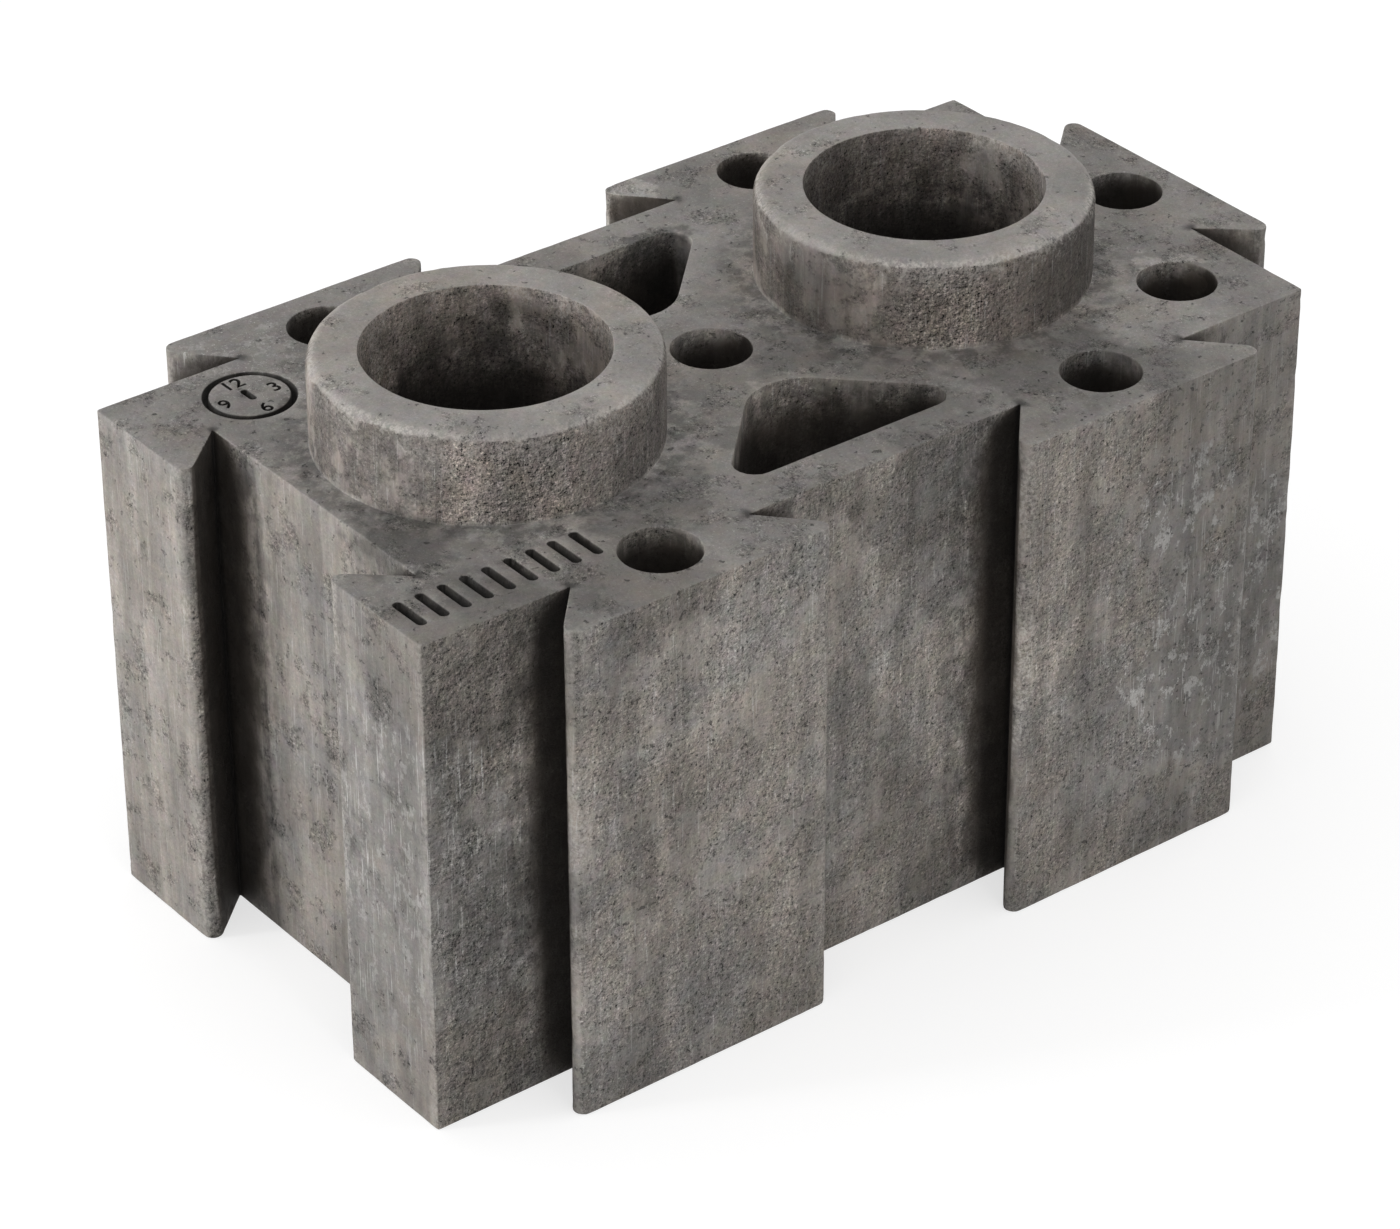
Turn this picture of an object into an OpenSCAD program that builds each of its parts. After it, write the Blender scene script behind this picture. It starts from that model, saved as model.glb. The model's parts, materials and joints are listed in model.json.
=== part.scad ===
// Interlocking building brick, moulded in one piece.
// Two hollow bosses stand on the top and seat in pockets under the next course.
// Dovetail tabs on three sides and a socket in the fourth lock it to its neighbours.
// The origin is the centre of the middle hole at the underside. X runs along the
// length, with the socket at -X and the end tab at +X. The underside is at Z = 0.

/* [Grid] */
// Grid module: width of the body, and spacing of the bosses and side tabs
grid = 152.4; // [145:0.2:200]
// Grid modules along the length, each with its boss, bore and pair of side tabs
modules = 2; // [1:1:4]

/* [Body] */
// Height of the body, without the bosses
body_h = 153.6; // [60:0.2:260]

/* [Bosses] */
// Outside diameter of a boss
boss_d = 96.6; // [80:0.2:108]
// Height of a boss above the top of the body
boss_h = 27; // [10:0.5:40]
// Radius of the rounded rim of a boss
boss_rim_r = 3.5; // [1:0.1:6]
// Diameter of the bore down through a boss and the body
bore_d = 68.2; // [40:0.2:76]

/* [Pockets in the underside] */
// Clearance in diameter between a boss and the pocket that it seats in
pocket_clearance = 1.6; // [0.4:0.1:4]
// Clearance between the top of a boss and the roof of its pocket
pocket_headroom = 1.5; // [0.5:0.1:5]

/* [Dovetails] */
// How far a tab stands out, and how deep the end socket is
tab_depth = 19.05; // [12:0.05:23]
// Slope of a dovetail's flanks from square, in degrees
flank_angle = 42; // [30:1:46]
// Radius of the rounded tips
tip_r = 3; // [1:0.1:5]
// Gap between a tab's flank and the side tab beside it, where a brick's tab fills a side gap
gap_clearance = 0.35; // [0.2:0.05:2]
// Gap between a tab's flank and the flank of the end socket
socket_clearance = 0.85; // [0.2:0.05:2]

/* [Pin holes] */
// Diameter of the vertical pin holes
pin_hole_d = 22.9; // [12:0.1:28]
// Distance from the body's tab end to the two end pin holes
end_hole_inset = 25; // [18:0.5:30]
// Distance between the two end pin holes
end_hole_spacing = 101.6; // [94:0.2:116]

/* [Three-sided cores] */
// Wall between a core and the long side of the body
core_wall = 13.8; // [8:0.2:24]
// Depth of a core, from its straight side to the top of its rounded peak
core_depth = 36.9; // [24:0.1:42]
// Slope of a core's two flanks from its straight side, in degrees
core_angle = 45; // [40:1:50]
// Radius of a core's two side corners
core_corner_r = 6; // [3:0.5:8]
// Radius of a core's peak
core_peak_r = 17; // [10:0.5:20]

/* [Hidden] */
$fn = 96;

body_len = grid * modules;
half_len = body_len / 2;
half_w = grid / 2;
boss_r = boss_d / 2;
bore_r = bore_d / 2;
pin_hole_r = pin_hole_d / 2;
pocket_r = boss_r + pocket_clearance / 2;
pocket_h = boss_h + pocket_headroom;
// Half width of a tab at its neck. The tabs and the gaps between them share each module
// evenly, so that a like brick's tab fills the gap.
neck_half = (grid / 2 - tab_depth * tan(flank_angle) - gap_clearance / cos(flank_angle)) / 2;
// How far a cutting tool runs past the face that it opens
over = 1;
// Rounds are swollen by this much, so that each meets the flats beside it in a clean edge
swell = 0.005;
module_centres = [for (i = [0 : modules - 1]) (i + 0.5) * grid - half_len];
joint_centres = modules > 1 ? [for (i = [1 : modules - 1]) i * grid - half_len] : [];

// Distance from a dovetail's sharp tip to where its round begins, along each of the two faces
tip_run = tip_r / tan((90 - flank_angle) / 2);
// The same distance along the flank, split into its width and its depth
tip_run_x = tip_run * sin(flank_angle);
tip_run_y = tip_run * cos(flank_angle);

// Plan of one tab on the +Y side of the line Y = 0, with its two tips rounded.
// Its neck is carried back behind that line, to join what it stands on.
module dovetail_tab() {
    root = tab_depth / 2;
    tip_half = neck_half + tab_depth * tan(flank_angle);
    round_x = tip_half - tip_run;
    // Where the round meets the flank
    meet_x = tip_half - tip_run_x;
    meet_y = tab_depth - tip_run_y;
    polygon([
        [-neck_half, -root], [neck_half, -root], [neck_half, 0],
        [meet_x, meet_y], [round_x, tab_depth],
        [-round_x, tab_depth], [-meet_x, meet_y], [-neck_half, 0]
    ]);
    for (side = [-1, 1])
        translate([side * round_x, tab_depth - tip_r]) circle(tip_r + swell);
}

// Plan of the space that a dovetail slides into, cut from the line Y = 0 towards -Y.
// The two lips that it leaves at the mouth are rounded as the tabs' tips are.
module dovetail_socket() {
    mouth_half = neck_half + socket_clearance / cos(flank_angle);
    floor_half = mouth_half + tab_depth * tan(flank_angle);
    lip_x = mouth_half + tip_run;
    difference() {
        union() {
            polygon([
                [-mouth_half, 0], [mouth_half, 0],
                [floor_half, -tab_depth], [-floor_half, -tab_depth]
            ]);
            translate([-lip_x, -tip_run_y]) square([2 * lip_x, over + tip_run_y]);
        }
        // What stays of each lip: its flank side and the round at its tip
        for (side = [-1, 1]) {
            meet_x = side * (mouth_half + tip_run_x);
            outer_x = side * (lip_x + over);
            polygon([
                [side * lip_x, 0], [side * lip_x, -tip_r], [meet_x, -tip_run_y],
                [outer_x, -tip_run_y], [outer_x, 0]
            ]);
            translate([side * lip_x, -tip_r]) circle(tip_r + swell);
        }
    }
}

// Plan of one core, centred on X = 0 with its straight side on Y = 0 and its peak at +Y
module core_plan() {
    // The peak would be this much further out if it were sharp
    peak = core_depth + core_peak_r * (1 / cos(core_angle) - 1);
    half_base = peak / tan(core_angle);
    corner_x = half_base - core_corner_r / tan(core_angle / 2);
    peak_y = peak - core_peak_r / cos(core_angle);
    reach = [sin(core_angle), cos(core_angle)];
    corner_meet = [corner_x, core_corner_r] + core_corner_r * reach;
    peak_meet = [0, peak_y] + core_peak_r * reach;
    polygon([
        [-corner_x, 0], [corner_x, 0], corner_meet, peak_meet,
        [-peak_meet[0], peak_meet[1]], [-corner_meet[0], corner_meet[1]]
    ]);
    for (side = [-1, 1])
        translate([side * corner_x, core_corner_r]) circle(core_corner_r + swell);
    // A wide peak on a shallow core is kept from bulging through the straight side
    intersection() {
        translate([0, peak_y]) circle(core_peak_r + swell);
        translate([-half_base, 0]) square([2 * half_base, 2 * peak]);
    }
}

// Outline of the body with its tabs and its end socket
module body_plan() {
    difference() {
        union() {
            square([body_len, grid], center = true);
            for (x = module_centres, side = [0, 1])
                mirror([0, side]) translate([x, half_w]) dovetail_tab();
            translate([half_len, 0]) rotate(-90) dovetail_tab();
        }
        translate([-half_len, 0]) rotate(90) dovetail_socket();
    }
}

// Plan of the vertical pin holes: between the modules, at each tab's root and at the tab end
module pin_hole_plan() {
    for (x = joint_centres) translate([x, 0]) circle(pin_hole_r);
    for (x = module_centres, side = [-1, 1]) translate([x, side * half_w]) circle(pin_hole_r);
    translate([half_len, 0]) circle(pin_hole_r);
    for (side = [-1, 1])
        translate([half_len - end_hole_inset, side * end_hole_spacing / 2]) circle(pin_hole_r);
}

// Plan of the cores, a pair at each line between two modules
module cores_plan() {
    for (x = joint_centres, side = [0, 1])
        mirror([0, side]) translate([x, core_wall - half_w]) core_plan();
}

// Solid boss with its rounded rim, turned about its own axis
module boss() {
    rotate_extrude() {
        square([boss_r, boss_h - boss_rim_r]);
        square([boss_r - boss_rim_r, boss_h]);
        translate([boss_r - boss_rim_r, boss_h - boss_rim_r]) circle(boss_rim_r + swell);
    }
}

module brick() {
    color([0.38, 0.365, 0.35])
    difference() {
        union() {
            linear_extrude(body_h) difference() {
                body_plan();
                pin_hole_plan();
                cores_plan();
            }
            for (x = module_centres) translate([x, 0, body_h]) boss();
        }
        for (x = module_centres) translate([x, 0, -over]) {
            cylinder(r = bore_r, h = body_h + boss_h + 2 * over);
            cylinder(r = pocket_r, h = pocket_h + over);
        }
    }
}

brick();
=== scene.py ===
"""Interlocking composite brick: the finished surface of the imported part, with its stage."""

import json
import math

import bpy
import numpy as np
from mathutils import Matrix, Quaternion, Vector, kdtree, noise
from mathutils.bvhtree import BVHTree
from mathutils.geometry import delaunay_2d_cdt, interpolate_bezier


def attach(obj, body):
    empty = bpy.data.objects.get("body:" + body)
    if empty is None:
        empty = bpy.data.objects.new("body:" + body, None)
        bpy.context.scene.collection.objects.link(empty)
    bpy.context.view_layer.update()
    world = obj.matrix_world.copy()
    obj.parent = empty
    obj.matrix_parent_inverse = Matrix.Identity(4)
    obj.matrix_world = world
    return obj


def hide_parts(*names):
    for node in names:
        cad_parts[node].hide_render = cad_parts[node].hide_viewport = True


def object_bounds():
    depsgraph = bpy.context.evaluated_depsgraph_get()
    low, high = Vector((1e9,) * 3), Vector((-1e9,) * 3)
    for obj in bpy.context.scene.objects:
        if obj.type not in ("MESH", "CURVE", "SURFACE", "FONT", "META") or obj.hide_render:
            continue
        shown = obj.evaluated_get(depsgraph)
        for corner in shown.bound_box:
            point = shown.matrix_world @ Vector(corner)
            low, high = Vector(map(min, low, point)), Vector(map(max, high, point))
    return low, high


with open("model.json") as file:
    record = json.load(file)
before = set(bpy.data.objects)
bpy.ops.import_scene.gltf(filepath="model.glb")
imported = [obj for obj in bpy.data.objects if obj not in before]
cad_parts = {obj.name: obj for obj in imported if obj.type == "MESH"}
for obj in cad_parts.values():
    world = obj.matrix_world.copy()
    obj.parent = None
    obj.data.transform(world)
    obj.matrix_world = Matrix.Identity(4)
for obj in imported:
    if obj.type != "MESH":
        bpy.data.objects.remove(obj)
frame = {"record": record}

bl_info = {
    "name": "Interlocking Composite Brick",
    "version": (1, 0, 0),
    "blender": (4, 5, 0),
    "location": "3D View > Sidebar > Brick",
    "description": "Makes the worn composite brick around its packed model, and a studio for it",
    "category": "Object",
}

MM = 0.001
CAD_BOX = [list(corner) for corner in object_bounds()]
MOUNTS = {mount["name"]: mount for mount in frame["record"]["mounts"]}


def centre_of(mount):
    """Where a mount is in the plan."""
    return Vector(MOUNTS[mount]["pos_m"][:2])


def size_of(mount, key):
    """One of a mount's sizes, in metres."""
    return MOUNTS[mount]["dims"][key] * MM


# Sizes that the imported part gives
GRID = centre_of("boss_2").x - centre_of("boss_1").x
BODY_H = size_of("centre_hole", "length_mm")
OVERALL_H = CAD_BOX[1][2]
BOSS_TOP = BODY_H + size_of("boss_1", "length_mm")
TAB_DEPTH = CAD_BOX[1][1] - GRID / 2
PIN_HOLES = [name for name in MOUNTS if "hole" in name]


# ---------------------------------------------------------------- properties


class BrickSizes(bpy.types.PropertyGroup):
    """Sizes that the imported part's record doesn't give"""

    flank_angle: bpy.props.FloatProperty(
        name="Flank Angle", description="Slope of a dovetail's flanks from square",
        default=math.radians(42), subtype="ANGLE")
    tip_r: bpy.props.FloatProperty(
        name="Tip Radius", description="Radius of a dovetail's rounded tips",
        default=3 * MM, unit="LENGTH")
    gap_clearance: bpy.props.FloatProperty(
        name="Gap Clearance", description="Gap between a tab's flank and the side tab beside it",
        default=0.35 * MM, unit="LENGTH")
    socket_clearance: bpy.props.FloatProperty(
        name="Socket Clearance", description="Gap between a tab's flank and the end socket's",
        default=0.85 * MM, unit="LENGTH")
    boss_rim_r: bpy.props.FloatProperty(
        name="Boss Rim Radius", description="Radius of the rounded rim of a boss",
        default=3.5 * MM, unit="LENGTH")
    core_wall: bpy.props.FloatProperty(
        name="Core Wall", description="Wall between a core and the long side",
        default=13.8 * MM, unit="LENGTH")
    core_depth: bpy.props.FloatProperty(
        name="Core Depth", description="From a core's straight side to the top of its peak",
        default=36.9 * MM, unit="LENGTH")
    core_angle: bpy.props.FloatProperty(
        name="Core Angle", description="Slope of a core's flanks from its straight side",
        default=math.radians(45), subtype="ANGLE")
    core_corner_r: bpy.props.FloatProperty(
        name="Core Corner Radius", description="Radius of a core's two side corners",
        default=6 * MM, unit="LENGTH")
    core_peak_r: bpy.props.FloatProperty(
        name="Core Peak Radius", description="Radius of a core's peak",
        default=17 * MM, unit="LENGTH")


class BrickRelief(bpy.types.PropertyGroup):
    """How worn and how fine the surface is"""

    edge_r: bpy.props.FloatProperty(
        name="Edge Radius", description="Radius that handling has given the sharp edges",
        default=0.5 * MM, unit="LENGTH")
    corner_r: bpy.props.FloatProperty(
        name="Corner Radius", description="Radius of the upright corners of the body",
        default=0.9 * MM, unit="LENGTH")
    fillet_r: bpy.props.FloatProperty(
        name="Fillet Radius", description="Radius left in the inner corners and round the bosses' feet",
        default=0.12 * MM, unit="LENGTH")
    chip_depth: bpy.props.FloatProperty(
        name="Chip Depth", description="How deep the largest chips in the edges are",
        default=0.35 * MM, unit="LENGTH")
    ragged_depth: bpy.props.FloatProperty(
        name="Ragged Depth", description="How deep the fine roughness of a rubbed edge is",
        default=0.2 * MM, unit="LENGTH")
    wave_depth: bpy.props.FloatProperty(
        name="Wave Depth", description="How far the cast faces sink in their slow waves",
        default=0.15 * MM, unit="LENGTH")
    mark_depth: bpy.props.FloatProperty(
        name="Mark Depth", description="Depth of the sunk dial and grip bars",
        default=3.2 * MM, unit="LENGTH")
    step: bpy.props.FloatProperty(
        name="Mesh Step", description="Distance between the points of the outer faces",
        default=2.3 * MM, unit="LENGTH")


class BrickFinish(bpy.types.PropertyGroup):
    """Colours of the composite"""

    warm: bpy.props.FloatVectorProperty(
        name="Warm Grey", description="Brownish grey of the pressed composite",
        default=(0.215, 0.194, 0.173), subtype="COLOR", size=3, min=0, max=1)
    cool: bpy.props.FloatVectorProperty(
        name="Cool Grey", description="Bluish grey of its smoother patches",
        default=(0.19, 0.179, 0.168), subtype="COLOR", size=3, min=0, max=1)
    bloom: bpy.props.FloatVectorProperty(
        name="Bloom", description="Pale bloom and scuffs",
        default=(0.42, 0.41, 0.395), subtype="COLOR", size=3, min=0, max=1)
    rubbed: bpy.props.FloatVectorProperty(
        name="Rubbed", description="Chalky grey of rubbed edges",
        default=(0.40, 0.375, 0.345), subtype="COLOR", size=3, min=0, max=1)
    # Brown dirt in the holes and grooves, also used as painted shade deep in them
    grime_and_painted_shade: bpy.props.FloatVectorProperty(
        name="Grime", description="Brown grime in the holes and grooves",
        default=(0.055, 0.042, 0.032), subtype="COLOR", size=3, min=0, max=1)


class StudioSettings(bpy.types.PropertyGroup):
    """Floor, lamps and camera"""

    floor_size: bpy.props.FloatProperty(
        name="Floor Size", description="Side of the floor", default=12.0, unit="LENGTH")
    key_power: bpy.props.FloatProperty(
        name="Key Power", description="Power of the low lamp at the socket end, in watts", default=26.3)
    fill_power: bpy.props.FloatProperty(
        name="Fill Power", description="Power of the low lamp in front, in watts", default=8.3)
    sky: bpy.props.FloatProperty(
        name="Sky", description="Strength of the even light all round", default=0.93)


# ------------------------------------------------------------------ outlines


def unit(vectors):
    return vectors / np.linalg.norm(vectors, axis=-1, keepdims=True)


def left(vectors):
    return np.stack([-vectors[..., 1], vectors[..., 0]], -1)


def rounded(corners, step):
    """A closed outline through corners, each (x, y, radius), as points about a step apart."""
    points = np.array([c[:2] for c in corners], float)
    ahead = unit(np.roll(points, -1, 0) - points)
    stretches = []
    for at, (corner, go, came) in enumerate(zip(points, ahead, np.roll(ahead, 1, 0))):
        turn = math.atan2(came[0] * go[1] - came[1] * go[0], float(came @ go))
        radius = corners[at][2]
        if radius <= 0:
            stretches.append(corner[None])
            continue
        run = radius * math.tan(abs(turn) / 2)
        centre = corner - came * run + math.copysign(radius, turn) * left(came)
        pieces = max(2, math.ceil(abs(turn) / math.radians(24)), math.ceil(abs(turn) * radius / step))
        angles = np.linspace(0, turn, pieces + 1)
        arm = corner - came * run - centre
        stretches.append(np.stack([
            centre[0] + arm[0] * np.cos(angles) - arm[1] * np.sin(angles),
            centre[1] + arm[0] * np.sin(angles) + arm[1] * np.cos(angles)], -1))
    outline = []
    for at, arc in enumerate(stretches):
        outline.append(arc)
        start, end = arc[-1], stretches[(at + 1) % len(stretches)][0]
        pieces = max(1, round(float(np.linalg.norm(end - start)) / step))
        outline.append(start + (end - start) * (np.arange(1, pieces) / pieces)[:, None])
    return np.concatenate(outline)


def circle(centre, radius, count):
    """Points of a circle, anticlockwise."""
    angles = np.arange(count) * 2 * math.pi / count
    return np.array(centre) + radius * np.stack([np.cos(angles), np.sin(angles)], -1)


def into_material(outline, distance):
    """The outline moved towards its left, where the material is."""
    ahead = left(unit(np.roll(outline, -1, 0) - outline))
    behind = np.roll(ahead, 1, 0)
    return outline + distance * (ahead + behind) / (1 + (ahead * behind).sum(-1, keepdims=True))


def turning(outline):
    """How far an outline turns left at each point, in radians."""
    ahead = unit(np.roll(outline, -1, 0) - outline)
    came = np.roll(ahead, 1, 0)
    return np.arctan2(came[:, 0] * ahead[:, 1] - came[:, 1] * ahead[:, 0], (came * ahead).sum(-1))


def tab_corners(sizes, neck_half, fillet_r):
    """Corners of a tab that stands towards +Y from the line Y = 0, from +X to -X."""
    tip_half = neck_half + TAB_DEPTH * math.tan(sizes.flank_angle)
    tips = [(tip_half, TAB_DEPTH, sizes.tip_r), (-tip_half, TAB_DEPTH, sizes.tip_r)]
    return [(neck_half, 0, fillet_r), *tips, (-neck_half, 0, fillet_r)]


def socket_corners(sizes, neck_half, fillet_r):
    """Corners of the socket that goes towards -Y from the line Y = 0, from +X to -X."""
    mouth_half = neck_half + sizes.socket_clearance / math.cos(sizes.flank_angle)
    floor_half = mouth_half + TAB_DEPTH * math.tan(sizes.flank_angle)
    return [
        (mouth_half, 0, sizes.tip_r), (floor_half, -TAB_DEPTH, fillet_r),
        (-floor_half, -TAB_DEPTH, fillet_r), (-mouth_half, 0, sizes.tip_r)]


def placed(corners, turn, x, y):
    """Corners turned about the origin, then moved."""
    c, s = round(math.cos(turn)), round(math.sin(turn))
    return [(c * px - s * py + x, s * px + c * py + y, r) for px, py, r in corners]


def body_outline(sizes, relief):
    """Outline of the body with its five tabs and its socket, anticlockwise."""
    half_len, half_w = GRID, GRID / 2
    slope = TAB_DEPTH * math.tan(sizes.flank_angle)
    neck_half = (half_w - slope - sizes.gap_clearance / math.cos(sizes.flank_angle)) / 2
    tab = tab_corners(sizes, neck_half, relief.fillet_r)
    socket = socket_corners(sizes, neck_half, relief.fillet_r)
    near, far, r = -half_w, half_w, relief.corner_r
    corners = [(-half_len, near, r)]
    for boss in ("boss_1", "boss_2"):
        corners += placed(tab, math.pi, centre_of(boss).x, near)
    corners += [(half_len, near, r), *placed(tab, -math.pi / 2, half_len, 0), (half_len, far, r)]
    for boss in ("boss_2", "boss_1"):
        corners += placed(tab, 0, centre_of(boss).x, far)
    corners += [(-half_len, far, r), *placed(socket, math.pi / 2, -half_len, 0)]
    return corners


def core_corners(sizes, side):
    """Corners of the core on one long side, clockwise, so that the material is on its left."""
    peak = sizes.core_depth + sizes.core_peak_r * (1 / math.cos(sizes.core_angle) - 1)
    base_half = peak / math.tan(sizes.core_angle)
    base_y = GRID / 2 - sizes.core_wall
    corners = [
        (-base_half, side * base_y, sizes.core_corner_r),
        (base_half, side * base_y, sizes.core_corner_r),
        (0, side * (base_y - peak), sizes.core_peak_r)]
    return corners if side > 0 else corners[::-1]


def bar_outline(x, y, half_length, half_width, pieces=6):
    """A round-ended bar along Y, clockwise."""
    angles = np.linspace(0, math.pi, pieces + 1)
    cap = half_width * np.stack([np.cos(angles), np.sin(angles)], -1)
    straight = half_length - half_width
    rows = np.linspace(straight, -straight, pieces)[1:-1]
    side = np.stack([np.full_like(rows, -half_width), rows], -1)
    half = np.concatenate([cap + (0, straight), side])
    return (np.concatenate([half, -half]) + (x, y))[::-1]


def area(outline):
    """Area within an outline, positive when it runs anticlockwise."""
    ahead = np.roll(outline, -1, 0)
    return float((outline[:, 0] * ahead[:, 1] - ahead[:, 0] * outline[:, 1]).sum()) / 2


def number_outlines(text, x, y, height, weight):
    """Outlines of plain digits centred on a point. Strokes run clockwise, islands anticlockwise."""
    curve = bpy.data.curves.new("dial_number", "FONT")
    curve.body = text
    curve.size = height / 0.73
    curve.offset = weight
    holder = bpy.data.objects.new("dial_number", curve)
    outlines = []
    for spline in holder.to_curve(bpy.context.evaluated_depsgraph_get()).splines:
        knots = list(spline.bezier_points)
        points = []
        for knot, after in zip(knots, knots[1:] + knots[:1]):
            curve_points = interpolate_bezier(knot.co, knot.handle_right, after.handle_left, after.co, 4)
            bends = abs((curve_points[1] - knot.co).cross(after.co - knot.co).z) > (0.001 * MM) * MM
            points += curve_points[:-1] if bends else curve_points[:1]
        outline = np.array([point[:2] for point in points])
        far_enough = np.linalg.norm(np.roll(outline, -1, 0) - outline, axis=1) > 0.15 * MM
        outlines.append(outline[far_enough])
    holder.to_curve_clear()
    bpy.data.objects.remove(holder)
    bpy.data.curves.remove(curve)
    everything = np.concatenate(outlines)
    middle = (everything.min(0) + everything.max(0)) / 2
    placed_outlines = []
    for outline in outlines:
        others = [other for other in outlines if other is not outline]
        island = bool(others) and inside(outline[:1], others)[0]
        if (area(outline) > 0) != island:
            outline = outline[::-1]
        placed_outlines.append(outline - middle + (x, y))
    return placed_outlines


# ---------------------------------------------------------------------- skin


class Skin:
    """Collects the points and faces of one closed surface."""

    def __init__(self):
        self.points = []
        self.exposed = []
        self.faces = []
        self.count = 0

    def ring(self, plan, z, exposed=0.0):
        """Adds a level ring of points, exposed by 1 at a rubbed edge and by -1 in an inner corner, where the
        material paints shade.
        """
        indices = self.count + np.arange(len(plan))
        self.points.append(np.column_stack([plan, np.full(len(plan), z)]))
        self.exposed.append(np.broadcast_to(exposed, len(plan)))
        self.count += len(plan)
        return indices

    def tube(self, rings):
        """Joins rings in turn. With the material on the left of each, faces look out of it going up."""
        for first, second in zip(rings, rings[1:]):
            corners = first, np.roll(first, -1), np.roll(second, -1), second
            self.faces += np.stack(corners, -1).tolist()

    def sheet(self, rings, z, step, looks_up):
        """Fills the level area between closed rings with even triangles."""
        points = np.concatenate(self.points)
        loops = [points[ring][:, :2] for ring in rings]
        border = np.concatenate(loops)
        inner = even_points(loops, step)
        edges, start = [], 0
        for loop in loops:
            edges += [(start + i, start + (i + 1) % len(loop)) for i in range(len(loop))]
            start += len(loop)
        flat = np.concatenate([border, inner])
        made = delaunay_2d_cdt([Vector(point) for point in flat], edges, [], 0, 1e-9)
        if len(made[0]) != len(flat):
            raise RuntimeError(f"the outlines of the level face at {z:.4f} touch or cross")
        source = np.array([ids[0] for ids in made[3]])
        triangles = source[np.array(made[2])]
        corners = flat[triangles]
        filled = inside(corners.mean(1), loops)
        triangles, corners = triangles[filled], corners[filled]
        along, across = corners[:, 1] - corners[:, 0], corners[:, 2] - corners[:, 0]
        up = along[:, 0] * across[:, 1] > along[:, 1] * across[:, 0]
        triangles[up != looks_up] = triangles[up != looks_up][:, ::-1]
        index = np.concatenate([*rings, self.ring(inner, z)])
        self.faces += index[triangles].tolist()


def inside(spots, loops):
    """Which spots have an odd number of loops around them."""
    odd = np.zeros(len(spots), bool)
    for loop in loops:
        for (x0, y0), (x1, y1) in zip(loop, np.roll(loop, -1, 0)):
            if y0 == y1:
                continue
            spans = (spots[:, 1] < max(y0, y1)) & (spots[:, 1] >= min(y0, y1))
            odd ^= spans & (spots[:, 0] < x0 + (spots[:, 1] - y0) * (x1 - x0) / (y1 - y0))
    return odd


def even_points(loops, step):
    """Points of an even triangular grid between the loops, clear of the loops themselves."""
    line = []
    for loop in loops:
        for start, end in zip(loop, np.roll(loop, -1, 0)):
            pieces = math.ceil(2 * np.linalg.norm(end - start) / step)
            line += [start + (end - start) * piece / pieces for piece in range(pieces)]
    tree = kdtree.KDTree(len(line))
    for at, (x, y) in enumerate(line):
        tree.insert((x, y, 0), at)
    tree.balance()
    low, high = np.min(line, axis=0), np.max(line, axis=0)
    row_height = step * math.sqrt(3) / 2
    found = []
    for row in range(1, int((high[1] - low[1]) / row_height) + 1):
        y = low[1] + row * row_height
        for x in np.arange(low[0] + 0.5 * step * (row % 2), high[0], step):
            if tree.find((x, y, 0))[2] > 0.7 * step:
                found.append((x, y))
    found = np.array(found).reshape(-1, 2)
    return found[inside(found, loops)]


def stations(length, start, step, growth=1.25):
    """Distances from 0 to length, start apart at both ends and up to step apart in the middle."""
    gaps, reach, gap = [], 0.0, start
    while reach + gap < length / 2:
        gaps.append(gap)
        reach += gap
        gap = min(gap * growth, step)
    middle = length - 2 * reach
    pieces = max(1, math.ceil(middle / step))
    all_gaps = gaps + [middle / pieces] * pieces + gaps[::-1]
    return np.concatenate([[0], np.cumsum(all_gaps)])


# Angles round a worn edge, from the wall to the level face
EDGE_TURNS = np.radians([0, 30, 60, 90])
# An upright corner is where the outline turns by more than this at a point
CORNER_TURN = math.radians(8)
# How exposed the other edges are, beside a boss's rim at 1
# Outer corners and tab tips are rubbed pale, which partly stands as painted light on them
TIP_WEAR_AND_PAINTED_LIGHT = 0.6
EDGE_WEAR = 0.15


def wall(skin, outline, edge_r, step, corners=0.0):
    """The body's full height of upright wall, with a worn edge at both ends, from the underside up."""
    # Inner corners stay at -1, for painted shade there
    level = np.where(corners < 0, -1, np.maximum(corners, EDGE_WEAR))

    def worn_edge(z, up, turns):
        rings = []
        for turn in turns:
            plan = into_material(outline, edge_r * (1 - math.cos(turn)))
            rings.append(skin.ring(plan, z - up * edge_r * (1 - math.sin(turn)), level))
        return rings

    rings = worn_edge(0, -1, EDGE_TURNS[::-1])
    for up in stations(BODY_H - 2 * edge_r, edge_r, step)[1:-1]:
        rings.append(skin.ring(outline, edge_r + up, corners))
    rings += worn_edge(BODY_H, 1, EDGE_TURNS)
    skin.tube(rings)
    return rings[0], rings[-1]


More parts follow.
